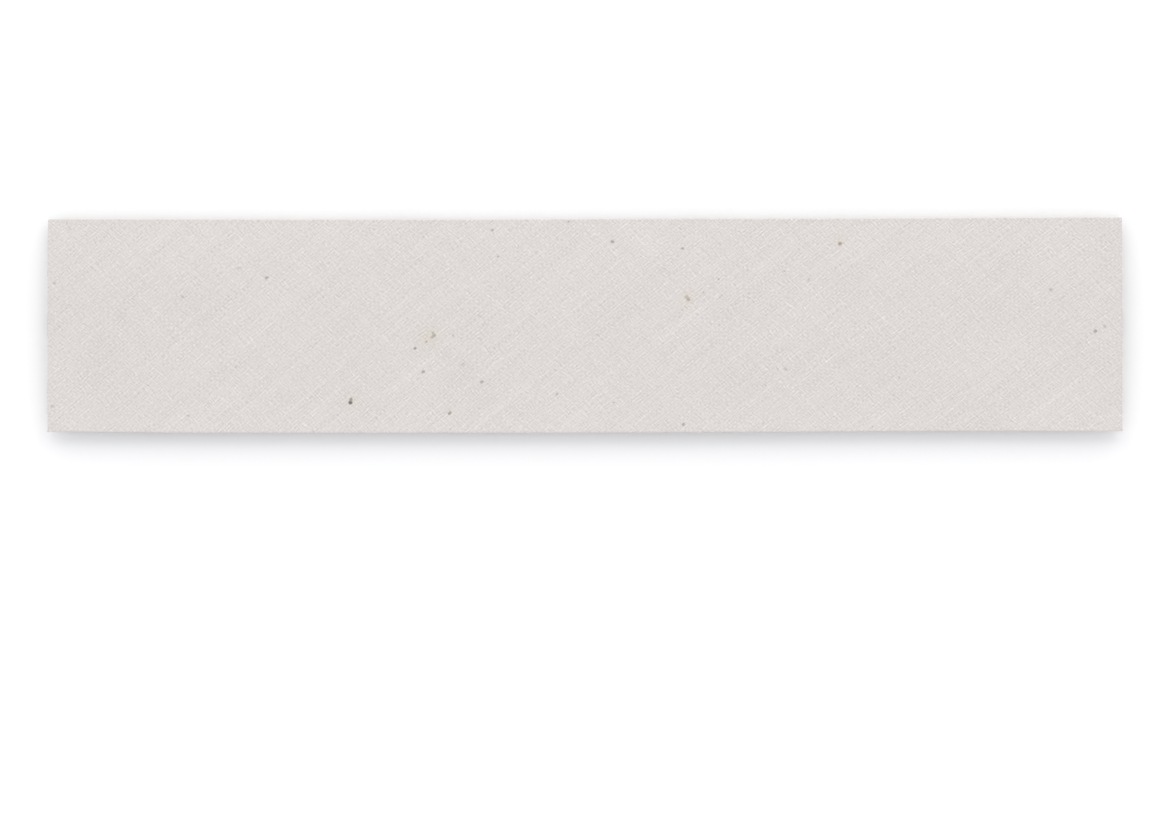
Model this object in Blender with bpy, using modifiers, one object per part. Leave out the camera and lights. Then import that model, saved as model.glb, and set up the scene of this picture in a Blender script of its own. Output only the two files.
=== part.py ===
"""A cut length of bias binding: one strip of cotton with both long edges folded to the back.

The strip lies face up on its two folded-under edges, the returns. X runs along the length,
Y runs across it and Z is up. The origin is at the middle of the underside.
All values are in metres.
"""

import math

import bmesh
import bpy

MM = 0.001

# The sheet, and how closely it is folded
LENGTH = 125.8 * MM
SHEET = 1.0 * MM
LAYER_GAP = 0.3 * MM
FOLD_RADIUS = (SHEET + LAYER_GAP) / 2
RETURN_HEIGHT = SHEET / 2
FACE_HEIGHT = RETURN_HEIGHT + 2 * FOLD_RADIUS

# Steps along the strip, and across each stretch of its section
LENGTH_STEPS = 30
FACE_STEPS = 5
FOLD_STEPS = 10
RETURN_STEPS = 4

# The strip bows a little, and its folds and raw edges wander.
# One row for each place along it, in millimetres:
# x, the place; centre, where its middle line runs; width, from fold to fold;
# near and far, how far each raw edge at the back stops short of the middle line.
COLUMNS = ("x", "centre", "width", "near", "far")
STATIONS = (
    (-62.9, -0.03, 24.84, 1.25, 1.45),
    (-47.0, -0.10, 24.93, 1.40, 1.30),
    (-31.0, -0.12, 24.92, 1.20, 1.20),
    (-15.0, -0.12, 24.92, 1.05, 1.35),
    (-1.0, -0.09, 24.96, 1.30, 1.55),
    (10.0, -0.05, 24.98, 1.50, 1.35),
    (22.0, -0.02, 24.93, 1.35, 1.15),
    (34.0, 0.03, 24.88, 1.15, 1.30),
    (48.0, 0.09, 24.92, 1.30, 1.45),
    (62.9, 0.11, 24.97, 1.45, 1.25),
)

COTTON_COLOUR = (0.74, 0.69, 0.66, 1.0)
COTTON_ROUGHNESS = 0.92


def clear_scene():
    for thing in list(bpy.data.objects):
        bpy.data.objects.remove(thing, do_unlink=True)


def smooth_between(before, start, end, after, share):
    """The value a share of the way from start to end, on a smooth curve through all four."""
    start_slope = (end - before) / 2
    end_slope = (after - start) / 2
    rise = end - start
    curve = (3 * rise - 2 * start_slope - end_slope) * share**2
    twist = (start_slope + end_slope - 2 * rise) * share**3
    return start + start_slope * share + curve + twist


def station_at(x):
    """The strip's own sizes at one place along it, in metres, by column name."""
    places = [row[0] * MM for row in STATIONS]
    last = len(places) - 2
    index = max(i for i in range(last + 1) if i == 0 or places[i] <= x)
    share = (x - places[index]) / (places[index + 1] - places[index])
    rows = [STATIONS[i] for i in (max(index - 1, 0), index, index + 1, min(index + 2, last + 1))]
    return {
        name: smooth_between(*(row[column] * MM for row in rows), share)
        for column, name in enumerate(COLUMNS)
    }


def half_section(width, edge):
    """The sheet's middle line as (out, height) points, from the middle of the face to one raw edge."""
    bend = width / 2 - SHEET / 2 - FOLD_RADIUS
    fold_centre = RETURN_HEIGHT + FOLD_RADIUS
    face = [(bend * step / FACE_STEPS, FACE_HEIGHT) for step in range(FACE_STEPS)]
    turns = [math.pi * step / FOLD_STEPS for step in range(FOLD_STEPS + 1)]
    fold = [
        (bend + FOLD_RADIUS * math.sin(turn), fold_centre + FOLD_RADIUS * math.cos(turn))
        for turn in turns
    ]
    shares = [step / RETURN_STEPS for step in range(1, RETURN_STEPS + 1)]
    folded_under = [(bend + (edge - bend) * share, RETURN_HEIGHT) for share in shares]
    return face + fold + folded_under


def section(station):
    """The whole section as (y, z) points, from the near raw edge round to the far one."""
    near = [(-out, height) for out, height in half_section(station["width"], station["near"])]
    far = half_section(station["width"], station["far"])
    points = near[:0:-1] + far
    return [(station["centre"] + y, z) for y, z in points]


def folded_sheet():
    """The strip cut as a flat grid, then each crosswise row of it laid in its folded place."""
    rows_across = 2 * (FACE_STEPS + FOLD_STEPS + RETURN_STEPS)
    sheet = bmesh.new()
    bmesh.ops.create_grid(
        sheet, x_segments=LENGTH_STEPS, y_segments=rows_across, size=0.5
    )
    places = [LENGTH * (step / LENGTH_STEPS - 0.5) for step in range(LENGTH_STEPS + 1)]
    sections = [section(station_at(x)) for x in places]
    for vertex in sheet.verts:
        step = round((vertex.co.x + 0.5) * LENGTH_STEPS)
        row = round((vertex.co.y + 0.5) * rows_across)
        vertex.co = (places[step], *sections[step][row])
    return sheet


def cotton():
    material = bpy.data.materials.new("unbleached_cotton")
    material.use_nodes = True
    shader = material.node_tree.nodes["Principled BSDF"]
    shader.inputs["Base Color"].default_value = COTTON_COLOUR
    shader.inputs["Roughness"].default_value = COTTON_ROUGHNESS
    shader.inputs["Metallic"].default_value = 0.0
    return material


def make_binding(collection):
    mesh = bpy.data.meshes.new("binding")
    sheet = folded_sheet()
    sheet.to_mesh(mesh)
    sheet.free()
    mesh.shade_smooth()
    mesh.materials.append(cotton())
    binding = bpy.data.objects.new("binding", mesh)
    collection.objects.link(binding)
    thickness = binding.modifiers.new("sheet thickness", "SOLIDIFY")
    thickness.thickness = SHEET
    thickness.offset = 0.0
    thickness.use_even_offset = True
    return binding


def main():
    clear_scene()
    parts = bpy.data.collections.new("bias_binding")
    bpy.context.scene.collection.children.link(parts)
    make_binding(parts)


main()
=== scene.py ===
"""Dresses the solid of a length of bias binding as woven cotton: a thin sheet laid in the
solid's folds, the frayed ends of its threads, and the seed flecks caught in it.
Sizes are in metres. X runs along the strip, Y across it and Z up."""

import math
import random

import bmesh
import bpy
import numpy as np
from mathutils import Matrix, Vector, noise


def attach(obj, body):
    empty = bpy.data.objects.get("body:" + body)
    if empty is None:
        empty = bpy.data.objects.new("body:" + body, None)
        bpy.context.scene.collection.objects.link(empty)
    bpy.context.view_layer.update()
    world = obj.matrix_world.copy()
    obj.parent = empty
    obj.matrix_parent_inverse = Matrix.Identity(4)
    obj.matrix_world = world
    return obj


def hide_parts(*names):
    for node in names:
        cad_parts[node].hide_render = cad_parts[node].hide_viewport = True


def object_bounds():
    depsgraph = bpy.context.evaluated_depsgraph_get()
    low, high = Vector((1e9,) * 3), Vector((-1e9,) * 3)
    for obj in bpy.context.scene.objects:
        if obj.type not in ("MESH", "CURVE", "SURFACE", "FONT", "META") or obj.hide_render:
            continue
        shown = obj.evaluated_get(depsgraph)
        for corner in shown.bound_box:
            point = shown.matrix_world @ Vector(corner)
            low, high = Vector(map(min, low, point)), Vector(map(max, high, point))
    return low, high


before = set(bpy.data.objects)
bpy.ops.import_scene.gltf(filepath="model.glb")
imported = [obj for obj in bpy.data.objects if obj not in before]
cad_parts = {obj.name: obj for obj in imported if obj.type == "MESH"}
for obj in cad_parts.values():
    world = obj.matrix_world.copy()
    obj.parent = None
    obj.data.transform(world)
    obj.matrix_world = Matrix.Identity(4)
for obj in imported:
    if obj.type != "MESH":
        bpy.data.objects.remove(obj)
solid_low, solid_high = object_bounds()
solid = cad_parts["binding"]

MM = 0.001
TURN = 2 * math.pi

# The cloth, and how it stands on the surface: the face lies over two folded-under edges, the
# returns, which have sprung a little open and come down to the surface towards the middle.
# Heights and radii are those of the outer side of the cloth
CLOTH = 0.32 * MM
HALF_CLOTH = CLOTH / 2
FACE_HEIGHT = 1.95 * MM
FOLD_RADIUS = 0.36 * MM

# How square the iron left the upper side of each fold, the near one at -1 and the far one at 1,
# and the under side of both, where 2 is round. UNDERCUT is how far the under side lies back, as a
# share of the fold's radius
PRESSED_OVER = {-1: 14, 1: 6}
PRESSED_UNDER = 4
UNDERCUT = 0.3

# How the face comes to each fold, the near one at -1 and the far one at 1: over how wide a strip
# its height changes, by how much and how suddenly, and how far the fold lies past the solid's edge
EDGE_REACH = {-1: 4.0 * MM, 1: 11.0 * MM}
EDGE_RISE = {-1: 0.12 * MM, 1: -0.42 * MM}
EDGE_BEND = 2.5
EDGE_PAST_SOLID = {-1: 0.17 * MM, 1: -0.06 * MM}

# The faint ripples in the face: their height, and their length along and across the strip.
# The planes are the places in the noise where the ripples and the wavering are read
RIPPLE_HEIGHT = 0.012 * MM
RIPPLE_LENGTHS = (19 * MM, 9 * MM)
RIPPLE_PLANE = 5.2
WAVER_PLANE = 0.37

# How each return slopes, how much of its width stands off the surface, and how its raw edge
# curls up over the last share of its width. Each wavers along the strip with a seed and a length
FOLD_SPRING = math.radians(8.0)
SPRING_WAVER = math.radians(1.4)
SPRING_RUN = (3.1, 14 * MM)
LANDING = 0.86
LANDING_WAVER = 0.06
LANDING_RUN = (7.7, 21 * MM)
RAW_EDGE_CURL = 0.16 * MM
CURL_RUN = (11.3, 8 * MM)
CURL_SHARE = 0.2

# Which corners of the solid count as on the line of a fold or raw edge: how close they lie in
# height, how close a fold's lie to the solid's side, and how far a raw edge's lie from the middle.
# Places along the strip that agree to so many decimals, in metres, are one place
LINE_BAND = 0.04 * MM
FOLD_BAND = 0.5 * MM
FURTHEST_RAW_EDGE = 4 * MM
PLACE_DECIMALS = 4

# A small step, for finding which way the sheet runs at a point
NUDGE = 0.01 * MM

# Steps of the sheet: along it, across each half of its face and each return, and to either side
# of the two corners of a fold, where they lie closer together
LENGTH_STEPS = 288
FACE_STEPS = 27
CORNER_STEPS = 4
FOLD_STEPS = 4 * CORNER_STEPS
CORNER_GATHER = 2.2
RETURN_STEPS = 20

# The angle past which an edge of the cloth is sharp, as its cut edges are
CUT_EDGE_ANGLE = math.radians(70)

# The weave lies on the bias. Threads crossed per millimetre along and across the strip,
# and how the weft, which was pulled askew, turns from one end of the strip to the other
WARP_PER_MM = (2.186, 2.323)
WEFT_PER_MM = (1.734, -2.135)
WEFT_TURN = (-0.00069, -0.00153)

# Picture frame of the photograph, and the strip's place in it
PICTURE_WIDTH_PX = 1170
STRIP_MIDDLE_PX = 324.05
PICTURE_MIDDLE_PX = 417.0
PX_PER_MM = 8.54
LENS_MM = 120.0
SENSOR_MM = 36.0

# Seed flecks on the face, in millimetres and degrees. dark: how far the seed shows through
FLECK_COLUMNS = ("x", "y", "long", "wide", "turn", "dark", "tint")
FLECKS = (
    (-27.47, -9.19, 0.54, 0.49, 0, 0.92, "umber"),
    (-27.41, -8.83, 0.57, 0.44, 75, 0.58, "umber"),
    (-17.69, -1.33, 0.62, 0.37, 20, 0.61, "olive"),
    (-17.78, -1.05, 0.44, 0.38, 100, 0.46, "olive"),
    (-17.88, -1.52, 0.50, 0.31, 20, 0.40, "umber"),
    (12.11, 2.89, 0.53, 0.45, 140, 0.54, "rust"),
    (11.89, 3.16, 0.61, 0.52, 140, 0.41, "rust"),
    (29.88, 9.44, 0.56, 0.50, 20, 0.64, "rust"),
    (3.21, 9.66, 0.50, 0.45, 0, 0.52, "umber"),
    (59.75, -0.81, 0.52, 0.41, 30, 0.48, "umber"),
    (-15.84, -10.41, 0.58, 0.38, 46, 0.60, "rust"),
    (-37.28, 5.45, 0.49, 0.36, 26, 0.42, "umber"),
    (-18.95, -5.57, 0.49, 0.42, 30, 0.50, "umber"),
    (-12.08, -6.76, 0.49, 0.41, 40, 0.43, "umber"),
    (-19.90, -2.83, 0.39, 0.36, 0, 0.59, "umber"),
    (11.53, -11.74, 0.47, 0.40, 70, 0.48, "umber"),
    (60.88, -0.25, 0.42, 0.35, 100, 0.28, "umber"),
    (11.42, 8.88, 0.42, 0.31, 160, 0.46, "umber"),
    (-3.28, -8.20, 0.42, 0.32, 20, 0.30, "umber"),
    (54.55, 4.05, 0.46, 0.38, 0, 0.31, "umber"),
    (23.50, -5.24, 0.51, 0.38, 150, 0.24, "umber"),
    (-18.55, -2.06, 0.34, 0.31, 0, 0.38, "umber"),
    (-47.12, 3.21, 0.44, 0.32, 150, 0.26, "umber"),
    (-40.50, 6.62, 0.60, 0.40, 30, 0.155, "umber"),
    (26.21, 5.27, 0.42, 0.28, 40, 0.26, "umber"),
    (13.89, 3.73, 0.30, 0.24, 30, 0.17, "umber"),
    (15.65, 5.26, 0.34, 0.26, 60, 0.27, "umber"),
    (-10.18, 7.93, 0.34, 0.26, 20, 0.36, "umber"),
    (-46.44, -10.70, 0.43, 0.35, 0, 0.22, "umber"),
    (21.14, -7.09, 0.34, 0.26, 120, 0.21, "umber"),
    (-14.28, -4.70, 0.48, 0.37, 60, 0.205, "umber"),
    (23.36, 6.22, 0.36, 0.27, 140, 0.24, "umber"),
    (-15.46, -1.29, 0.36, 0.27, 40, 0.21, "umber"),
    (3.36, -9.16, 0.26, 0.20, 0, 0.32, "umber"),
    (36.79, -6.25, 0.31, 0.25, 90, 0.28, "umber"),
    (-10.85, 11.04, 0.46, 0.36, 170, 0.37, "umber"),
    (-1.94, 12.00, 0.30, 0.26, 0, 0.45, "umber"),
    (-62.12, 4.78, 0.40, 0.34, 0, 0.26, "umber"),
    (-62.39, -9.65, 0.49, 0.38, 100, 0.28, "umber"),
    (33.70, -12.00, 0.27, 0.20, 0, 0.28, "umber"),
    (-60.69, 11.91, 0.62, 0.17, 95, 0.20, "umber"),
    (-60.37, 11.26, 0.66, 0.20, 130, 0.20, "umber"),
)
FLECK_TINTS = {
    "umber": (0.105, 0.095, 0.085, 1.0),
    "olive": (0.24, 0.23, 0.17, 1.0),
    "rust": (0.22, 0.155, 0.135, 1.0),
}

# How a fleck is made: its height, how deep and how close together its lumps are, how finely its
# surface is divided, and how much the threads over it break up its colour
FLECK_HEIGHT = 0.06 * MM
LUMP_DEPTH = 0.22
LUMP_SCALE = 1.6
FLECK_DETAIL = 3
SEED_BREAKUP = 0.5

# Flecks on the returns, where the photograph doesn't reach: how many, over which shares of the
# strip's length and of a return's width, and between which values each one is drawn, with the
# breadth as a share of the length. Umber is the commonest tint
HIDDEN_FLECKS = 24
HIDDEN_ALONG = 0.97
HIDDEN_ACROSS = (0.08, 0.70)
HIDDEN_LONG = (0.20 * MM, 0.55 * MM)
HIDDEN_WIDE = (0.6, 0.95)
HIDDEN_TURN = (0, 180)
HIDDEN_DARK = (0.3, 0.6)
HIDDEN_TINTS = ("umber", "umber", "umber", "olive", "rust")
FLECK_SEED = 5

# Faint stains round the larger flecks, in millimetres: x, y, how far they reach, how strong
STAIN_COLUMNS = ("x", "y", "reach", "strength")
STAINS = (
    (-27.1, -8.9, 1.0, 0.8),
    (-18.2, -1.4, 1.3, 1.0),
    (12.0, 3.1, 0.9, 1.0),
    (29.8, 9.9, 0.7, 0.8),
    (-15.8, -10.3, 0.6, 0.6),
)

# Frayed ends of threads: their shortest and longest along the raw edges and along the cut ends,
# and those of the few that stick out further, with their share of the ends on the raw edges
RAW_FRAY = (0.10 * MM, 0.55 * MM)
CUT_FRAY = (0.02 * MM, 0.09 * MM)
LONG_FRAY = (0.77 * MM, 1.10 * MM)
LONG_FRAY_SHARE = 0.06

# One frayed end: its radius at the foot, the tip's share of that, its sides, the cuts that let it
# bend, and how far inside the cloth it starts. Then, as shares of its length, how far it sways to
# either side at most, and how far it turns in towards the inner side of the cloth
END_RADIUS = 0.10 * MM
TIP_SHARE = 0.35
END_SIDES = 5
END_CUTS = 2
END_OVERLAP = 0.12 * MM
END_SWAY = 0.5
END_TURN_IN = (-0.05, 0.15)
FRAY_SEED = 11

# Steps along each cut edge, for finding where its threads end
WALK_STEPS = 1200

# Thicker places in single threads. x and y in millimetres, then the half length in threads
# crossed and how much paler the place is. SLUB_BREADTH is their half breadth, in threads
SLUB_COLUMNS = ("x", "y", "reach", "pale")
WEFT_SLUBS = (
    (55.4, -8.5, 22, 1.60),
    (-19.2, -4.7, 22, 1.00),
    (-9.5, -9.4, 20, 0.80),
    (-21.0, 2.9, 10, 0.90),
    (12.1, 0.6, 20, 1.05),
    (-11.5, -5.5, 18, 0.60),
    (-50.6, 9.4, 18, 0.40),
    (-47.1, -1.8, 9, 1.15),
    (-18.4, 10.2, 10, 0.15),
    (29.6, 7.6, 9, 0.60),
    (-42.5, -9.1, 18, 0.60),
    (20.6, 6.9, 10, 0.85),
    (19.1, -2.7, 18, 0.65),
    (-32.3, -8.1, 18, 0.42),
    (-0.1, -9.8, 18, 0.65),
)
WARP_SLUBS = (
    (34.8, 0.8, 9, 1.00),
    (-24.0, -1.2, 18, 0.55),
    (51.5, 4.5, 9, 0.75),
    (35.9, -9.2, 18, 0.50),
    (-46.7, 5.6, 18, 0.50),
    (-53.6, 8.8, 18, 0.50),
    (-11.1, 3.3, 18, 0.45),
)
SLUB_BREADTH = 0.9

# The constant values of the two shaders, the cotton's and the floor's
COTTON_FINISH = {
    "Roughness": 0.9,
    "Specular IOR Level": 0.25,
    "Sheen Weight": 0.06,
    "Sheen Roughness": 0.6,
}
FLOOR_FINISH = {
    "Base Color": (0.95, 0.95, 0.95, 1.0),
    "Roughness": 1.0,
    "Specular IOR Level": 0.0,
}

# The cloth's colour, and how much each effect changes its tone. The stains and the aging turn it
# towards the stain's tint
COTTON_TONE = (0.6627, 0.6271, 0.6088)
STAIN_TINT = (0.98, 0.945, 0.83, 1.0)
STAIN_STRENGTH = 0.45
AGED = 0.12
MOTTLED = 0.058
# Painted shade: darker in every other gap between warp threads, the wider ones that part them into
# pairs, and paler in the narrower ones
REED_GAP_SHADE = 0.009
OVER_PALER = 0.024
YARN_UNEVEN = 0.14
FIBRE_UNEVEN = 0.17
WARP_LINES = 0.205
WEFT_LINES = 0.19
# Painted shade: every weft thread a little paler along its middle than in the gaps beside it
WEFT_LINES_EVEN_SHADE = 0.010
SLUB_PALER = 0.045
# Painted shade: the cloth darker in the gaps between threads, where the weave's relief lies lowest
GAP_SHADE = 0.03

# The weave's relief: how strong and how deep it is, and how far a thicker place stands out
RELIEF_STRENGTH = 0.35
RELIEF_DEPTH = 0.06 * MM
SLUB_RELIEF = 0.35

# How uneven in tone the frayed ends are, and over what length
END_UNEVEN = 0.08
END_PATCH = 0.4 * MM

# How deep the weave's relief has to be to count as a gap between threads, where shade is painted
GAP_DEEP = 0.05
GAP_SHALLOW = 0.42

# The yarn's unevenness: its short and its long stretches, in threads crossed, the share of each,
# and how much of it the steadier warp shows. THREAD_SPREAD sets each thread's place in the noise
# well clear of the next one's
SHORT_STRETCH = 3.5
LONG_STRETCH = 38.0
SHORT_SHARE = 0.45
LONG_SHARE = 0.55
WARP_STEADIER = 0.7
THREAD_SPREAD = 13.73

# How close together the fine fibres and the broad patches lie in the noise
FIBRE_SCALE = 1.5
PATCH_SCALE = 0.035

# How finely the noise is divided: along single threads, in the broad patches, and elsewhere
THREAD_DETAIL = 1.0
PATCH_DETAIL = 3.0
CLOUD_DETAIL = 2.0

# How far the warp and the weft stray from their straight lines, in threads, and how often
WANDER = (2.4, 0.8, 0.0)
WANDER_SCALE = 0.16

# Where each set of threads is read in the noise
WARP_TONE_SEED = 0.0
WEFT_TONE_SEED = 31.0
WARP_LINES_SEED = 11.0
WEFT_LINES_SEED = 23.0
LONG_STRETCH_SEED = 5.0

# The surface and the light. The key light hangs beyond the far fold, at an angle above the surface
FLOOR_SIZE = 6.0
FLOOR_DROP = 0.01 * MM
KEY_RISE = math.radians(38)
KEY_DISTANCE = 8.0
KEY_LENGTH = 16.0
KEY_DEPTH = 7.0
KEY_POWER = 352.0
KEY_TINT = (1.0, 0.97, 0.89)
SKY_TINT = (0.962, 0.972, 1.0, 1.0)
SKY_STRENGTH = 0.946


# The folds


def run_of(points, outermost):
    """A line along the strip: at each place, the outermost of the given points."""
    places = np.round(points[:, 0], PLACE_DECIMALS)
    along = np.unique(places)
    return along, np.array([outermost(points[places == x, 1]) for x in along])


def lines_of(mesh):
    """Where the solid's two folds and its two raw edges run."""
    corners = np.array([vertex.co[:] for vertex in mesh.vertices])
    across, height = corners[:, 1], corners[:, 2]
    halfway = np.abs(height - solid_high.z / 2) < LINE_BAND
    under = (height < LINE_BAND) & (np.abs(across) < FURTHEST_RAW_EDGE)
    return {
        "near fold": run_of(corners[halfway & (across < solid_low.y + FOLD_BAND)], np.min),
        "far fold": run_of(corners[halfway & (across > solid_high.y - FOLD_BAND)], np.max),
        "near edge": run_of(corners[under & (across < 0)], np.max),
        "far edge": run_of(corners[under & (across > 0)], np.min),
    }


LINES = lines_of(solid.data)
HALF_LENGTH = (solid_high.x - solid_low.x) / 2


def line_at(name, x):
    """How far across one of the solid's four lines runs, at a place along the strip."""
    return float(np.interp(x, *LINES[name]))


def waver(x, side, run):
    """A smooth uneven run between -1 and 1 along one side of the strip."""
    seed, length = run
    return noise.noise(Vector((x / length, seed * side, WAVER_PLANE)))


def smooth(share):
    """A share held between 0 and 1 and eased at both ends."""
    share = min(max(share, 0.0), 1.0)
    return share * share * (3 - 2 * share)


def half_section(x, side):
    """The sizes of one half of the section at one place along the strip."""
    fold = line_at("far fold" if side > 0 else "near fold", x)
    edge = line_at("far edge" if side > 0 else "near edge", x)
    middle = (line_at("near fold", x) + line_at("far fold", x)) / 2
    lean = math.atan(EDGE_BEND * EDGE_RISE[side] / EDGE_REACH[side])
    spring = FOLD_SPRING + SPRING_WAVER * waver(x, side, SPRING_RUN)
    reach = abs(fold - middle) + EDGE_PAST_SOLID[side]
    bend = reach - FOLD_RADIUS * (1 + math.sin(lean))
    centre_out = bend + FOLD_RADIUS * math.sin(lean)
    centre_height = FACE_HEIGHT + EDGE_RISE[side] - FOLD_RADIUS * math.cos(lean)
    under_out = centre_out + FOLD_RADIUS * math.sin(spring)
    return {
        "middle": middle,
        "lean": lean,
        "spring": spring,
        "bend": bend,
        "centre out": centre_out,
        "centre height": centre_height,
        "turned": bend + FOLD_RADIUS * (math.pi + lean - spring),
        "under out": under_out,
        "under height": centre_height - FOLD_RADIUS * math.cos(spring),
        "return": under_out - abs(edge - middle),
    }


def face_height(x, across, half):
    """How high the sheet's outer side lies, on the face."""
    side = 1 if across >= 0 else -1
    share = min(max((abs(across) - half["bend"]) / EDGE_REACH[side] + 1, 0.0), 1.0)
    along, over = RIPPLE_LENGTHS
    ripple = RIPPLE_HEIGHT * noise.noise(Vector((x / along, across / over, RIPPLE_PLANE)))
    return FACE_HEIGHT + EDGE_RISE[side] * share**EDGE_BEND + ripple * (1 - share)


def return_height(x, run, side, half):
    """How high the sheet's outer side lies on a return, a run past its fold."""
    landing = half["return"] * (LANDING + LANDING_WAVER * waver(x, side, LANDING_RUN))
    share = min(run / landing, 1.0)
    drop = half["under height"] * (1 - smooth(share))
    swing = math.tan(half["spring"]) * landing * share * (1 - share) ** 2
    curl = RAW_EDGE_CURL * (1 + waver(x, side, CURL_RUN)) / 2
    curled = smooth((run / half["return"] - 1) / CURL_SHARE + 1)
    return drop - swing + curl * curled


def laid(x, across, half):
    """Where a point of the flat strip comes to lie, across being its distance from the middle."""
    side = 1 if across >= 0 else -1
    out = abs(across)
    if out <= half["bend"]:
        height = face_height(x, across, half)
    elif out < half["turned"]:
        aim = half["lean"] - (out - half["bend"]) / FOLD_RADIUS
        past, above = -math.sin(aim), math.cos(aim)
        power = PRESSED_OVER[side] if above > 0 else PRESSED_UNDER
        radius = FOLD_RADIUS * (abs(past) ** power + abs(above) ** power) ** (-1 / power)
        out = half["centre out"] + radius * past * (1 - UNDERCUT * (1 - above) / 2)
        height = half["centre height"] + radius * above
    else:
        run = out - half["turned"]
        out = half["under out"] - run
        height = return_height(x, run, side, half)
    return Vector((x, half["middle"] + side * out, height))


def lie_of(x, across):
    """The sheet's own axes at a point of the flat strip: along it, across it, out of its face."""
    half = half_section(x, 1 if across >= 0 else -1)
    ahead = laid(x, across + NUDGE, half)
    behind = laid(x, across - NUDGE, half)
    over = (ahead - behind).normalized()
    along = Vector((1, 0, 0))
    out = along.cross(over)
    axes = Matrix((along, over, out)).transposed()
    return Matrix.Translation(laid(x, across, half)) @ axes.to_4x4()


def laid_inside(x, across, half):
    """Where the inner side of the cloth comes to lie, under a point of its outer side."""
    if not half["bend"] < abs(across) < half["turned"]:
        return lie_of(x, across) @ Vector((0, 0, -CLOTH))
    side = 1 if across >= 0 else -1
    aim = half["lean"] - (abs(across) - half["bend"]) / FOLD_RADIUS
    radius = FOLD_RADIUS - CLOTH
    out = half["centre out"] - radius * math.sin(aim)
    height = half["centre height"] + radius * math.cos(aim)
    return Vector((x, half["middle"] + side * out, height))


def threads_at(x, across):
    """How many warp and weft threads lie between the middle of the face and a point."""
    along, over = x / MM, across / MM
    warp = WARP_PER_MM[0] * along + WARP_PER_MM[1] * over
    weft = WEFT_PER_MM[0] * along + WEFT_PER_MM[1] * over
    askew = WEFT_TURN[0] * along**2 + WEFT_TURN[1] * along * over
    return warp, weft + askew


def turns_of_fold(half):
    """How far each row has turned round the fold, from straight up, closer together at its corners."""
    ends = (-half["lean"], math.pi / 2, math.pi - half["spring"])
    turns = []
    for corner, start, end in zip((math.pi / 4, 3 * math.pi / 4), ends, ends[1:]):
        for step in range(-CORNER_STEPS, CORNER_STEPS):
            reach = (start if step < 0 else end) - corner
            turns.append(corner + reach * abs(step / CORNER_STEPS) ** CORNER_GATHER)
    return turns


def rows_across(half):
    """Distances across one half of the flat strip, from the middle of the face to the raw edge."""
    face = [half["bend"] * step / FACE_STEPS for step in range(FACE_STEPS)]
    fold = [half["bend"] + FOLD_RADIUS * (turn + half["lean"]) for turn in turns_of_fold(half)]
    under = [
        half["turned"] + half["return"] * step / RETURN_STEPS for step in range(RETURN_STEPS + 1)
    ]
    return face + fold + under


def flat_width():
    """How wide the strip is cut, at the middle of its length and at the middle of its thickness.
    The outer side is longer, by half the thickness taken round each fold's half turn."""
    outer = sum(rows_across(half_section(0.0, side))[-1] for side in (-1, 1))
    return outer - TURN * HALF_CLOTH


FLAT_WIDTH = flat_width()


# Pieces


def new_object(name, shape):
    """Makes a bmesh an object of the scene."""
    mesh = bpy.data.meshes.new(name)
    shape.to_mesh(mesh)
    shape.free()
    thing = bpy.data.objects.new(name, mesh)
    bpy.context.scene.collection.objects.link(thing)
    return thing


def finish_piece(name, shape, material):
    """Makes a bmesh a piece of the dressed binding."""
    piece = new_object(name, shape)
    piece.data.shade_smooth()
    piece.data.materials.append(material)
    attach(piece, "root")
    return piece


def stain_at(x, across):
    """How stained the cloth is at a point of the flat strip."""
    stain = 0.0
    for row in STAINS:
        spot = dict(zip(STAIN_COLUMNS, row))
        away = math.hypot(x - spot["x"] * MM, across - spot["y"] * MM)
        stain += spot["strength"] * math.exp(-((away / (spot["reach"] * MM)) ** 2))
    return min(stain, 1.0)


def layered_shape():
    """An empty bmesh whose corners carry their thread numbers, their stain and a fleck's depth."""
    shape = bmesh.new()
    shape.verts.layers.float_vector.new("lay")
    shape.verts.layers.float.new("stain")
    shape.verts.layers.float.new("depth")
    return shape


def mark_corner(shape, vertex, x, across):
    """Notes how many warp and weft threads a corner lies from the middle, and how stained it is."""
    vertex[shape.verts.layers.float_vector["lay"]] = (*threads_at(x, across), 0.0)
    vertex[shape.verts.layers.float["stain"]] = stain_at(x, across)


def name_threads(shape):
    """Makes the noted thread numbers a UV map."""
    lay = shape.verts.layers.float_vector["lay"]
    threads = shape.loops.layers.uv.new("threads")
    for face in shape.faces:
        for loop in face.loops:
            loop[threads].uv = loop.vert[lay].xy
    shape.verts.layers.float_vector.remove(lay)


def make_cloth(material):
    """The strip cut as a flat slab, its outer side at 0 and its inner at -1, and laid in its folds."""
    steps_across = 2 * (FACE_STEPS + FOLD_STEPS + RETURN_STEPS)
    shape = layered_shape()
    bmesh.ops.create_grid(shape, x_segments=LENGTH_STEPS, y_segments=steps_across, size=0.5)
    bmesh.ops.solidify(shape, geom=shape.faces[:], thickness=1.0)
    places = [HALF_LENGTH * (2 * step / LENGTH_STEPS - 1) for step in range(LENGTH_STEPS + 1)]
    halves = [{side: half_section(x, side) for side in (-1, 1)} for x in places]
    rows = [
        [-out for out in rows_across(pair[-1])][:0:-1] + rows_across(pair[1]) for pair in halves
    ]
    for vertex in shape.verts:
        step = round((vertex.co.x + 0.5) * LENGTH_STEPS)
        across = rows[step][round((vertex.co.y + 0.5) * steps_across)]
        lay = laid_inside if vertex.co.z < -0.5 else laid
        vertex.co = lay(places[step], across, halves[step][1 if across >= 0 else -1])
        mark_corner(shape, vertex, places[step], across)
    name_threads(shape)
    cloth = finish_piece("binding_cloth", shape, material)
    cloth.data.set_sharp_from_angle(angle=CUT_EDGE_ANGLE)
    return cloth


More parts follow.
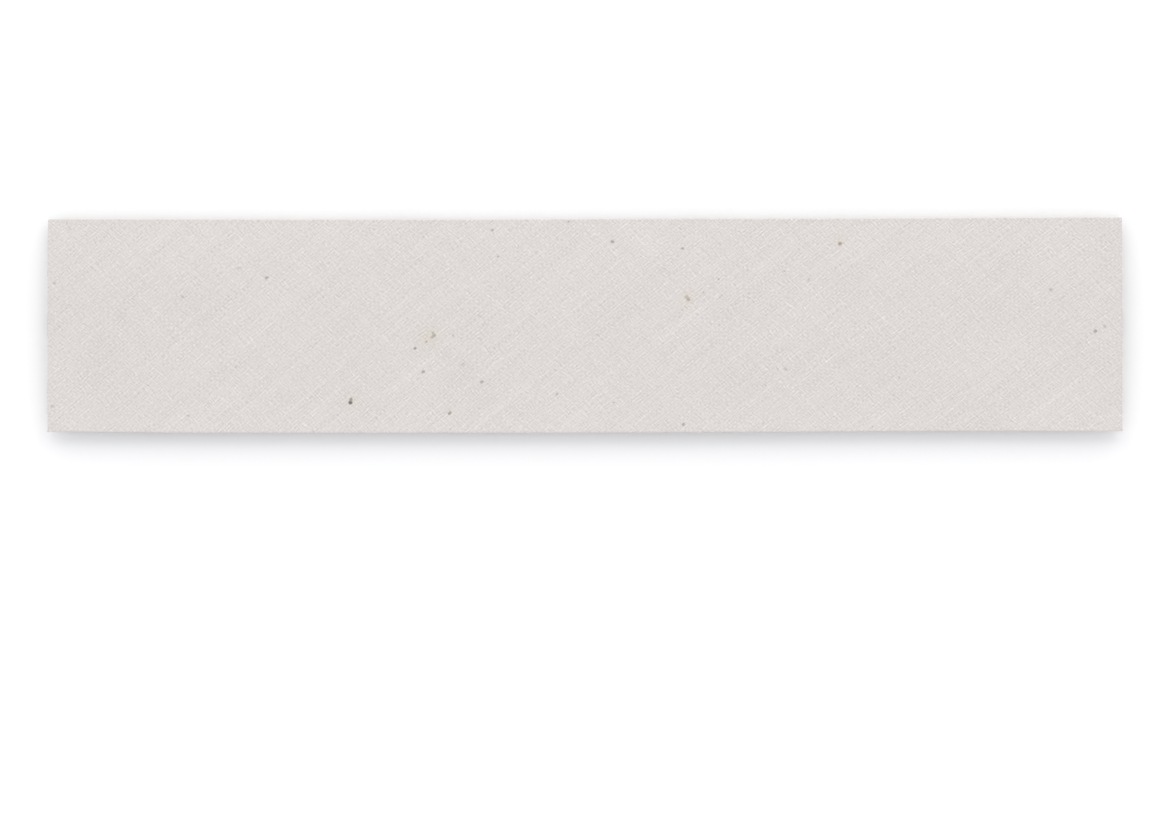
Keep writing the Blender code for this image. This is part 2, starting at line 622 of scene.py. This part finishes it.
def add_fleck(shape, x, across, fleck):
    """One flattened, uneven seed fleck, half sunk in the outer side of the sheet."""
    depth = shape.verts.layers.float["depth"]
    lie = lie_of(x, across)
    turned = Matrix.Rotation(math.radians(fleck["turn"]), 3, "Z")
    half_sizes = Vector((fleck["long"], fleck["wide"], FLECK_HEIGHT)) / 2
    first = len(shape.verts)
    bmesh.ops.create_icosphere(shape, subdivisions=FLECK_DETAIL, radius=1.0)
    shape.verts.ensure_lookup_table()
    for vertex in shape.verts[first:]:
        lump = LUMP_DEPTH * noise.noise(vertex.co * LUMP_SCALE + Vector((x, across, 0)) / MM)
        local = turned @ (vertex.co * half_sizes * (1 + lump))
        vertex[depth] = fleck["dark"] * smooth(vertex.co.z)
        mark_corner(shape, vertex, x + local.x, across + local.y)
        vertex.co = lie @ local


def hidden_flecks(draw):
    """Flecks scattered over the outer side of both returns."""
    for _ in range(HIDDEN_FLECKS):
        x = draw.uniform(-HALF_LENGTH, HALF_LENGTH) * HIDDEN_ALONG
        side = draw.choice((-1, 1))
        half = half_section(x, side)
        across = side * (half["turned"] + half["return"] * draw.uniform(*HIDDEN_ACROSS))
        long = draw.uniform(*HIDDEN_LONG)
        yield x, across, {
            "long": long,
            "wide": long * draw.uniform(*HIDDEN_WIDE),
            "turn": draw.uniform(*HIDDEN_TURN),
            "dark": draw.uniform(*HIDDEN_DARK),
            "tint": draw.choice(HIDDEN_TINTS),
        }


def shown_flecks():
    """The flecks on the face, as the photograph shows them."""
    for row in FLECKS:
        fleck = dict(zip(FLECK_COLUMNS, row))
        fleck["long"] *= MM
        fleck["wide"] *= MM
        x = fleck["x"] * MM
        yield x, fleck["y"] * MM - half_section(x, 1)["middle"], fleck


def make_flecks(tint, flecks, material):
    """All the flecks of one tint, as one piece."""
    shape = layered_shape()
    for x, across, fleck in flecks:
        if fleck["tint"] == tint:
            add_fleck(shape, x, across, fleck)
    name_threads(shape)
    return finish_piece(tint + "_flecks", shape, material)


def cut_edges():
    """The strip's four cut edges. Each is the places along it, the way out, and how far it frays."""
    reach = HALF_LENGTH - max(LONG_FRAY)
    places = [reach * (2 * step / WALK_STEPS - 1) for step in range(WALK_STEPS + 1)]
    for side in (-1, 1):
        raw = [(x, side * rows_across(half_section(x, side))[-1]) for x in places]
        yield raw, Vector((0, side)), RAW_FRAY
    for end in (-1, 1):
        x = end * HALF_LENGTH
        near, far = (rows_across(half_section(x, side))[-1] for side in (-1, 1))
        steps = [step / WALK_STEPS for step in range(WALK_STEPS + 1)]
        yield [(x, -near + (near + far) * step) for step in steps], Vector((end, 0)), CUT_FRAY


def thread_middles(walk, kind):
    """Where the middles of the warp threads, kind 0, or weft threads, kind 1, meet a cut edge.
    A thread's middle lies half a thread past its whole number."""
    counts = [threads_at(*place)[kind] - 0.5 for place in walk]
    for start, end, before, after in zip(walk, walk[1:], counts, counts[1:]):
        low, high = sorted((before, after))
        for number in range(math.ceil(low), math.ceil(high)):
            share = (number - before) / (after - before)
            yield [a + (b - a) * share for a, b in zip(start, end)]


def thread_heading(x, across, kind, way_out):
    """The way that a thread leaves the cloth at a cut edge."""
    here = threads_at(x, across)[kind]
    slope_along = threads_at(x + NUDGE, across)[kind] - here
    slope_over = threads_at(x, across + NUDGE)[kind] - here
    heading = Vector((-slope_over, slope_along)).normalized()
    return heading if heading.dot(way_out) > 0 else -heading


def thread_end_pattern():
    """One thread end as a cone with rings, 1 in radius and in height, standing on its foot."""
    shape = bmesh.new()
    bmesh.ops.create_cone(
        shape,
        cap_ends=True,
        segments=END_SIDES,
        radius1=1.0,
        radius2=TIP_SHARE,
        depth=1.0,
        matrix=Matrix.Translation((0, 0, 0.5)),
    )
    sides = [edge for edge in shape.edges if abs(edge.verts[0].co.z - edge.verts[1].co.z) > 0.5]
    bmesh.ops.subdivide_edges(shape, edges=sides, cuts=END_CUTS)
    pattern = bpy.data.meshes.new("thread end")
    shape.to_mesh(pattern)
    shape.free()
    return pattern


def add_thread_end(shape, pattern, place, heading, length, draw):
    """One frayed end, swaying a little to one side and turning out of the sheet's own plane."""
    first = len(shape.verts)
    shape.from_mesh(pattern)
    shape.verts.ensure_lookup_table()
    lie = lie_of(*place) @ Matrix.Translation((0, 0, -HALF_CLOTH))
    ahead = Vector((heading.x, heading.y, 0))
    beside = Vector((-heading.y, heading.x, 0))
    sway = length * END_SWAY * draw.uniform(-1, 1)
    turn_in = length * draw.uniform(*END_TURN_IN)
    for vertex in shape.verts[first:]:
        share = vertex.co.z
        middle = ahead * (share * (length + END_OVERLAP) - END_OVERLAP)
        bent = (beside * sway + Vector((0, 0, -turn_in))) * share**2
        around = (beside * vertex.co.x + Vector((0, 0, vertex.co.y))) * END_RADIUS
        vertex.co = lie @ (middle + bent + around)


def make_thread_ends(material):
    """The frayed ends of all the warp and weft threads along the four cut edges."""
    draw = random.Random(FRAY_SEED)
    pattern = thread_end_pattern()
    shape = bmesh.new()
    for walk, way_out, fray in cut_edges():
        for kind in (0, 1):
            for place in thread_middles(walk, kind):
                length = draw.uniform(*fray)
                if fray is RAW_FRAY and draw.random() < LONG_FRAY_SHARE:
                    length = draw.uniform(*LONG_FRAY)
                heading = thread_heading(*place, kind, way_out)
                add_thread_end(shape, pattern, place, heading, length, draw)
    bpy.data.meshes.remove(pattern)
    return finish_piece("thread_ends", shape, material)


# Materials

# The kinds of socket that a node group has
VALUE = "NodeSocketFloat"
VECTOR = "NodeSocketVector"
COLOUR = "NodeSocketColor"


def feed(tree, sockets, values):
    """Gives each input socket its value, which is another socket or a constant."""
    for socket, value in zip(sockets, values):
        if isinstance(value, bpy.types.NodeSocket):
            tree.links.new(value, socket)
        else:
            socket.default_value = value


def worked(tree, operation, *values):
    """A Math node on sockets or numbers. Returns its result."""
    node = tree.nodes.new("ShaderNodeMath")
    node.operation = operation
    feed(tree, node.inputs, values)
    return node.outputs[0]


def both_ways(tree, share):
    """A share from 0 to 1 as a value from -1 to 1."""
    return worked(tree, "MULTIPLY_ADD", share, 2.0, -1.0)


def vector_worked(tree, operation, *values):
    """A Vector Math node on sockets or constant vectors. Returns its result."""
    node = tree.nodes.new("ShaderNodeVectorMath")
    node.operation = operation
    feed(tree, node.inputs, values)
    return node.outputs["Vector"]


def clouded(tree, place, scale, detail=CLOUD_DETAIL, dimensions="3D"):
    """A noise cloud read at a place. Returns its mask and its colour."""
    cloud = tree.nodes.new("ShaderNodeTexNoise")
    cloud.noise_dimensions = dimensions
    cloud.inputs["Scale"].default_value = scale
    cloud.inputs["Detail"].default_value = detail
    tree.links.new(place, cloud.inputs["Vector"])
    return cloud.outputs["Fac"], cloud.outputs["Color"]


def new_group(name, inputs, outputs):
    """A node group with named sockets. Returns the tree and its inside input and output nodes."""
    tree = bpy.data.node_groups.new(name, "ShaderNodeTree")
    for title, kind in inputs:
        tree.interface.new_socket(title, in_out="INPUT", socket_type=kind)
    for title, kind in outputs:
        tree.interface.new_socket(title, in_out="OUTPUT", socket_type=kind)
    return tree, tree.nodes.new("NodeGroupInput"), tree.nodes.new("NodeGroupOutput")


def placed(tree, group, **values):
    """A group set in a tree. Values are sockets or constants, by input name with _ for a space."""
    node = tree.nodes.new("ShaderNodeGroup")
    node.node_tree = group
    sockets = [node.inputs[title.replace("_", " ")] for title in values]
    feed(tree, sockets, values.values())
    return node


def put_out(tree, result, **sockets):
    """Links what a group makes to its outputs, by name with _ for a space."""
    for title, socket in sockets.items():
        tree.links.new(socket, result.inputs[title.replace("_", " ")])


def mixed(tree, factor, first, second, blend="MIX"):
    """A colour Mix node on sockets or constant colours. Returns its colour."""
    node = tree.nodes.new("ShaderNodeMix")
    node.data_type = "RGBA"
    node.blend_type = blend
    colours = [socket for socket in node.inputs if socket.type == "RGBA"]
    feed(tree, [node.inputs[0], *colours], (factor, first, second))
    return next(socket for socket in node.outputs if socket.type == "RGBA")


def parted(tree, vector):
    """The X and Y of a vector socket."""
    split = tree.nodes.new("ShaderNodeSeparateXYZ")
    tree.links.new(vector, split.inputs[0])
    return split.outputs["X"], split.outputs["Y"]


def faded(tree, value, start, end):
    """A smooth step from 0 where the value is start to 1 where it is end."""
    step = tree.nodes.new("ShaderNodeMapRange")
    step.interpolation_type = "SMOOTHSTEP"
    tree.links.new(value, step.inputs["Value"])
    step.inputs["From Min"].default_value = start
    step.inputs["From Max"].default_value = end
    return step.outputs["Result"]


def thread_height(tree, aside, along, side):
    """How high a thread stands: round across its own width, and waving over and under."""
    doubled = worked(tree, "MULTIPLY", aside, 2.0)
    crown = worked(tree, "SUBTRACT", 1.0, worked(tree, "MULTIPLY", doubled, doubled))
    wave = worked(tree, "COSINE", worked(tree, "MULTIPLY", along, math.pi))
    raised = worked(tree, "MULTIPLY_ADD", wave, side, crown)
    return worked(tree, "MULTIPLY", raised, 0.5)


def plain_weave_group():
    """One over, one under. Reed marks the wider gaps that part the warp threads into pairs."""
    outputs = [(title, VALUE) for title in ("Height", "Warp On Top", "Gap", "Reed")]
    tree, given, result = new_group("plain weave", [("Threads", VECTOR)], outputs)
    warp, weft = parted(tree, given.outputs["Threads"])
    warp_aside = worked(tree, "SUBTRACT", worked(tree, "FRACT", warp), 0.5)
    weft_aside = worked(tree, "SUBTRACT", worked(tree, "FRACT", weft), 0.5)
    count = worked(tree, "ADD", worked(tree, "FLOOR", warp), worked(tree, "FLOOR", weft))
    side = both_ways(tree, worked(tree, "FLOORED_MODULO", count, 2.0))
    other_side = worked(tree, "MULTIPLY", side, -1.0)
    warp_height = thread_height(tree, warp_aside, weft_aside, side)
    weft_height = thread_height(tree, weft_aside, warp_aside, other_side)
    height = worked(tree, "MAXIMUM", warp_height, weft_height)
    on_top = worked(tree, "GREATER_THAN", warp_height, weft_height)
    gap = faded(tree, height, GAP_SHALLOW, GAP_DEEP)
    reed = worked(tree, "COSINE", worked(tree, "MULTIPLY", warp, math.pi))
    put_out(tree, result, Height=height, Warp_On_Top=on_top, Gap=gap, Reed=reed)
    return tree


def along_a_thread(tree, length, number, stretch, seed):
    """A cloud between -1 and 1 that is drawn out along each thread and unlike from one to the next."""
    place = tree.nodes.new("ShaderNodeCombineXYZ")
    tree.links.new(worked(tree, "DIVIDE", length, stretch), place.inputs["X"])
    tree.links.new(worked(tree, "MULTIPLY_ADD", number, THREAD_SPREAD, seed), place.inputs["Y"])
    cloud, _ = clouded(tree, place.outputs[0], 1.0, THREAD_DETAIL, "2D")
    return both_ways(tree, cloud)


def thread_tone(tree, length, count, seed):
    """How pale or dull one set of threads runs."""
    number = worked(tree, "FLOOR", count)
    short = along_a_thread(tree, length, number, SHORT_STRETCH, seed)
    long = along_a_thread(tree, length, number, LONG_STRETCH, seed + LONG_STRETCH_SEED)
    return worked(tree, "MULTIPLY_ADD", long, LONG_SHARE, worked(tree, "MULTIPLY", short, SHORT_SHARE))


def thread_lines(tree, length, count, seed, uneven, even):
    """A line along each thread that is paler or darker than the gaps beside it."""
    cloud = along_a_thread(tree, length, worked(tree, "FLOOR", count), SHORT_STRETCH, seed)
    # even darkens the gaps and pales the threads' middles alike everywhere: painted shade in the gaps
    clear = worked(tree, "MULTIPLY_ADD", cloud, -uneven, -even)
    ridges = worked(tree, "COSINE", worked(tree, "MULTIPLY", count, TURN))
    return worked(tree, "MULTIPLY", clear, ridges)


def yarn_group():
    """How pale or dull each thread runs: uneven from thread to thread and along each one.
    Fibre is a finer unevenness over all, and Lines draws single threads, here paler, there darker."""
    tree, given, result = new_group(
        "uneven yarn",
        [("Threads", VECTOR), ("Warp On Top", VALUE)],
        [("Tone", VALUE), ("Fibre", VALUE), ("Lines", VALUE)],
    )
    warp, weft = parted(tree, given.outputs["Threads"])
    warp_lines = thread_lines(tree, weft, warp, WARP_LINES_SEED, WARP_LINES, 0.0)
    weft_lines = thread_lines(tree, warp, weft, WEFT_LINES_SEED, WEFT_LINES, WEFT_LINES_EVEN_SHADE)
    lines = worked(tree, "ADD", warp_lines, weft_lines)
    weft_tone = thread_tone(tree, warp, weft, WEFT_TONE_SEED)
    warp_tone = thread_tone(tree, weft, warp, WARP_TONE_SEED)
    chosen = tree.nodes.new("ShaderNodeMix")
    tree.links.new(given.outputs["Warp On Top"], chosen.inputs["Factor"])
    tree.links.new(weft_tone, chosen.inputs["A"])
    tree.links.new(worked(tree, "MULTIPLY", warp_tone, WARP_STEADIER), chosen.inputs["B"])
    cloud, _ = clouded(tree, given.outputs["Threads"], FIBRE_SCALE)
    put_out(tree, result, Tone=chosen.outputs["Result"], Fibre=both_ways(tree, cloud), Lines=lines)
    return tree


def slub_group():
    """One thicker place: a long soft spot round Centre that fades out Reach threads away."""
    inputs = [("Threads", VECTOR), ("Centre", VECTOR), ("Reach", VECTOR), ("Pale", VALUE)]
    tree, given, result = new_group("slub", inputs, [("Slub", VALUE)])
    away = vector_worked(tree, "SUBTRACT", given.outputs["Threads"], given.outputs["Centre"])
    spot = given.outputs["Pale"]
    for share in parted(tree, vector_worked(tree, "DIVIDE", away, given.outputs["Reach"])):
        fall = worked(tree, "SUBTRACT", 1.0, worked(tree, "MULTIPLY", share, share))
        spot = worked(tree, "MULTIPLY", worked(tree, "MAXIMUM", fall, 0.0), spot)
    put_out(tree, result, Slub=spot)
    return tree


def cotton_colour_group():
    """Unbleached cotton: paler or duller with Tone, and yellowed by Stain."""
    inputs = [("Tone", VALUE), ("Stain", VALUE)]
    tree, given, result = new_group("unbleached cotton colour", inputs, [("Colour", COLOUR)])
    lit = tree.nodes.new("ShaderNodeVectorMath")
    lit.operation = "SCALE"
    lit.inputs["Vector"].default_value = COTTON_TONE
    tree.links.new(worked(tree, "ADD", given.outputs["Tone"], 1.0), lit.inputs["Scale"])
    stained = mixed(tree, given.outputs["Stain"], lit.outputs["Vector"], STAIN_TINT, "MULTIPLY")
    put_out(tree, result, Colour=stained)
    return tree


COTTON_COLOUR = cotton_colour_group()


def wandered(tree, threads):
    """Thread numbers shifted a little from place to place, so that no thread runs quite straight."""
    _, cloud = clouded(tree, threads, WANDER_SCALE, dimensions="2D")
    return vector_worked(tree, "MULTIPLY_ADD", cloud, WANDER, threads)


def woven_cotton_group():
    """The whole look of the cloth, thread by thread: its colour, and its relief for a Bump node."""
    inputs = [("Threads", VECTOR), ("Slub", VALUE), ("Stain", VALUE)]
    outputs = [("Colour", COLOUR), ("Relief", VALUE)]
    tree, given, result = new_group("woven cotton", inputs, outputs)
    threads = wandered(tree, given.outputs["Threads"])
    thick = given.outputs["Slub"]
    weave = placed(tree, plain_weave_group(), Threads=threads)
    on_top = weave.outputs["Warp On Top"]
    yarn = placed(tree, yarn_group(), Threads=threads, Warp_On_Top=on_top)
    patchy, _ = clouded(tree, threads, PATCH_SCALE, PATCH_DETAIL)
    aged = worked(tree, "MULTIPLY_ADD", patchy, AGED, given.outputs["Stain"])
    tone = worked(tree, "MULTIPLY", yarn.outputs["Tone"], YARN_UNEVEN)
    # The gap, reed and even thread-line effects among these darken the gaps between threads: painted
    # shade
    for effect, strength in (
        (worked(tree, "SUBTRACT", patchy, 0.5), MOTTLED),
        (yarn.outputs["Fibre"], FIBRE_UNEVEN),
        (yarn.outputs["Lines"], 1.0),
        (thick, SLUB_PALER),
        (weave.outputs["Gap"], -GAP_SHADE),
        (weave.outputs["Reed"], -REED_GAP_SHADE),
        (worked(tree, "SUBTRACT", on_top, 0.5), OVER_PALER),
    ):
        tone = worked(tree, "MULTIPLY_ADD", effect, strength, tone)
    cotton = placed(tree, COTTON_COLOUR, Tone=tone, Stain=aged)
    relief = worked(tree, "MULTIPLY_ADD", thick, SLUB_RELIEF, weave.outputs["Height"])
    put_out(tree, result, Colour=cotton.outputs["Colour"], Relief=relief)
    return tree


WOVEN_COTTON = woven_cotton_group()


def new_material(name, finish):
    """A material with its constant values set on the shader. Returns it, its tree and the shader."""
    material = bpy.data.materials.new(name)
    material.use_nodes = True
    shader = material.node_tree.nodes["Principled BSDF"]
    for title, value in finish.items():
        shader.inputs[title].default_value = value
    return material, material.node_tree, shader


def attribute(tree, name):
    """A value that the corners of the mesh carry."""
    node = tree.nodes.new("ShaderNodeAttribute")
    node.attribute_name = name
    return node.outputs["Fac"]


def placed_slubs(tree, group, threads):
    """Every thicker place that the photograph shows, added together."""
    total = 0.0
    for table, of_warp in ((WEFT_SLUBS, False), (WARP_SLUBS, True)):
        for row in table:
            slub = dict(zip(SLUB_COLUMNS, row))
            along, over = slub["reach"], SLUB_BREADTH
            spot = placed(
                tree,
                group,
                Threads=threads,
                Centre=(*threads_at(slub["x"] * MM, slub["y"] * MM), 0.0),
                Reach=(over, along, 1.0) if of_warp else (along, over, 1.0),
                Pale=slub["pale"],
            )
            total = worked(tree, "ADD", spot.outputs["Slub"], total)
    return total


def woven(tree, shader, with_slubs):
    """The woven cotton set in a material, with its relief. Returns its colour and its threads."""
    lay = tree.nodes.new("ShaderNodeUVMap")
    lay.uv_map = "threads"
    threads = lay.outputs["UV"]
    thick = placed_slubs(tree, slub_group(), threads) if with_slubs else 0.0
    stain = worked(tree, "MULTIPLY", attribute(tree, "stain"), STAIN_STRENGTH)
    cloth = placed(tree, WOVEN_COTTON, Threads=threads, Slub=thick, Stain=stain)
    relief = tree.nodes.new("ShaderNodeBump")
    relief.inputs["Strength"].default_value = RELIEF_STRENGTH
    relief.inputs["Distance"].default_value = RELIEF_DEPTH
    tree.links.new(cloth.outputs["Relief"], relief.inputs["Height"])
    tree.links.new(relief.outputs["Normal"], shader.inputs["Normal"])
    return cloth.outputs["Colour"], threads


def cloth_material():
    """Woven cotton with its slubs, the thicker places."""
    material, tree, shader = new_material("woven_unbleached_cotton", COTTON_FINISH)
    colour, _ = woven(tree, shader, True)
    tree.links.new(colour, shader.inputs["Base Color"])
    return material


def fleck_material(tint):
    """Woven cotton at the fleck's rim, and seed coat where it is deep, broken up by the threads."""
    material, tree, shader = new_material(tint + "_seed_coat", COTTON_FINISH)
    colour, threads = woven(tree, shader, False)
    cloud, _ = clouded(tree, threads, FIBRE_SCALE)
    breakup = worked(tree, "MULTIPLY_ADD", cloud, SEED_BREAKUP, 1 - SEED_BREAKUP / 2)
    shows = worked(tree, "MULTIPLY", attribute(tree, "depth"), breakup)
    seed = mixed(tree, shows, colour, FLECK_TINTS[tint])
    tree.links.new(seed, shader.inputs["Base Color"])
    return material


def thread_end_material():
    """Loose cotton fibres, uneven in tone from one thread end to the next."""
    material, tree, shader = new_material("frayed_cotton", COTTON_FINISH)
    place = tree.nodes.new("ShaderNodeTexCoord")
    cloud, _ = clouded(tree, place.outputs["Object"], 1 / END_PATCH)
    tone = worked(tree, "MULTIPLY", worked(tree, "SUBTRACT", cloud, 0.5), END_UNEVEN)
    cotton = placed(tree, COTTON_COLOUR, Tone=tone, Stain=0.0)
    tree.links.new(cotton.outputs["Colour"], shader.inputs["Base Color"])
    return material


# The surface, the light and the camera


def make_floor():
    """A pale flat surface under the strip."""
    shape = bmesh.new()
    bmesh.ops.create_grid(shape, x_segments=1, y_segments=1, size=FLOOR_SIZE)
    floor = new_object("floor", shape)
    floor.location.z = -FLOOR_DROP
    material, _, _ = new_material("pale_floor", FLOOR_FINISH)
    floor.data.materials.append(material)


def make_key_light():
    """A long soft light beyond the far fold, raised by an angle and facing the strip."""
    data = bpy.data.lights.new("key_light", "AREA")
    data.shape = "RECTANGLE"
    data.size = KEY_LENGTH
    data.size_y = KEY_DEPTH
    data.energy = KEY_POWER
    data.color = KEY_TINT
    light = bpy.data.objects.new("key_light", data)
    light.location = (0, KEY_DISTANCE * math.cos(KEY_RISE), KEY_DISTANCE * math.sin(KEY_RISE))
    light.rotation_euler = (KEY_RISE - math.pi / 2, 0, 0)
    light.visible_camera = False
    bpy.context.scene.collection.objects.link(light)


def make_sky():
    """An even, slightly cool light from all round."""
    world = bpy.data.worlds.new("soft_room")
    world.use_nodes = True
    sky = world.node_tree.nodes["Background"]
    sky.inputs["Color"].default_value = SKY_TINT
    sky.inputs["Strength"].default_value = SKY_STRENGTH
    bpy.context.scene.world = world


def make_camera():
    """The camera straight above, so that the strip's face takes up the photograph's share of it."""
    data = bpy.data.cameras.new("camera")
    data.lens = LENS_MM
    data.sensor_width = SENSOR_MM
    camera = bpy.data.objects.new("camera", data)
    picture_width = PICTURE_WIDTH_PX / PX_PER_MM * MM
    below = (PICTURE_MIDDLE_PX - STRIP_MIDDLE_PX) / PX_PER_MM * MM
    camera.location = (0, -below, FACE_HEIGHT + picture_width * LENS_MM / SENSOR_MM)
    bpy.context.scene.collection.objects.link(camera)
    bpy.context.scene.camera = camera


# The dressed binding

cloth = make_cloth(cloth_material())
thread_ends = make_thread_ends(thread_end_material())
every_fleck = [*shown_flecks(), *hidden_flecks(random.Random(FLECK_SEED))]
flecks = [make_flecks(tint, every_fleck, fleck_material(tint)) for tint in FLECK_TINTS]
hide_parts("binding")
make_floor()
make_key_light()
make_sky()
make_camera()
bpy.context.scene.view_settings.view_transform = "Standard"
